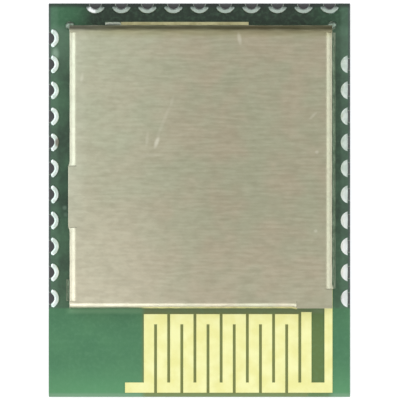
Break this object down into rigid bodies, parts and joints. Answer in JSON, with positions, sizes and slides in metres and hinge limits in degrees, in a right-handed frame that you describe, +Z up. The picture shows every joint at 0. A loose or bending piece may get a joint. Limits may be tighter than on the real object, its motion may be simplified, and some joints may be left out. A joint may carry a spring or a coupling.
{
  "type": "bluetooth module",
  "caption": "Small radio circuit board with plated half-hole terminals on three edges, a printed meander antenna at one end and a folded metal shield can over its parts.",
  "frame": {"origin": "centre of the board's underside", "axes": "+Z up out of the component face, +Y from the antenna end to the rear edge, +X to the right"},
  "size_m": [0.0148, 0.0192, 0.0022],
  "materials": {
    "solder_mask": "green solder mask over glass-fibre laminate, semi-gloss",
    "gold_plate": "pale immersion gold on copper, satin",
    "can_sheet": "rolled nickel-silver sheet, fine grain, light scratches",
    "solder": "reflowed solder, dull bright",
    "terminal_tin": "tinned copper, bright",
    "chip_mould": "moulded epoxy, matt",
    "lead_plate": "tin-plated leads, satin",
    "crystal_ceramic": "fired alumina, matt",
    "crystal_lid_metal": "nickel-plated lid, satin",
    "filter_ceramic": "fired ceramic with plated ends",
    "resistor_ceramic": "glazed black top with plated ends",
    "coil_ceramic": "pale ceramic with plated ends",
    "capacitor_ceramic": "brown ceramic with plated ends"
  },
  "bodies": {
    "root": {"circuit_board": "solder_mask", "antenna_trace": "gold_plate", "ground_land": "gold_plate", "shield_can": "can_sheet", "shield_solder": "solder", "component_lands": "solder", "radio_chip": "chip_mould", "radio_chip_leads": "lead_plate", "memory_chip": "chip_mould", "memory_chip_leads": "lead_plate", "crystal_base": "crystal_ceramic", "crystal_lid": "crystal_lid_metal", "band_filter": "filter_ceramic", "resistor_1": "resistor_ceramic", "resistor_2": "resistor_ceramic", "coil_1": "coil_ceramic", "coil_2": "coil_ceramic", "capacitor_1": "capacitor_ceramic", "capacitor_2": "capacitor_ceramic", "capacitor_3": "capacitor_ceramic", "capacitor_4": "capacitor_ceramic", "capacitor_5": "capacitor_ceramic", "capacitor_6": "capacitor_ceramic", "capacitor_7": "capacitor_ceramic", "capacitor_8": "capacitor_ceramic", "capacitor_9": "capacitor_ceramic", "left_terminal_1": "terminal_tin", "left_terminal_2": "terminal_tin", "left_terminal_3": "terminal_tin", "left_terminal_4": "terminal_tin", "left_terminal_5": "terminal_tin", "left_terminal_6": "terminal_tin", "left_terminal_7": "terminal_tin", "left_terminal_8": "terminal_tin", "left_terminal_9": "terminal_tin", "left_terminal_10": "terminal_tin", "left_terminal_11": "terminal_tin", "rear_terminal_1": "terminal_tin", "rear_terminal_2": "terminal_tin", "rear_terminal_3": "terminal_tin", "rear_terminal_4": "terminal_tin", "rear_terminal_5": "terminal_tin", "rear_terminal_6": "terminal_tin", "rear_terminal_7": "terminal_tin", "rear_terminal_8": "terminal_tin", "rear_terminal_9": "terminal_tin", "rear_terminal_10": "terminal_tin", "right_terminal_1": "terminal_tin", "right_terminal_2": "terminal_tin", "right_terminal_3": "terminal_tin", "right_terminal_4": "terminal_tin", "right_terminal_5": "terminal_tin", "right_terminal_6": "terminal_tin", "right_terminal_7": "terminal_tin", "right_terminal_8": "terminal_tin", "right_terminal_9": "terminal_tin", "right_terminal_10": "terminal_tin"}
  },
  "joints": []
}
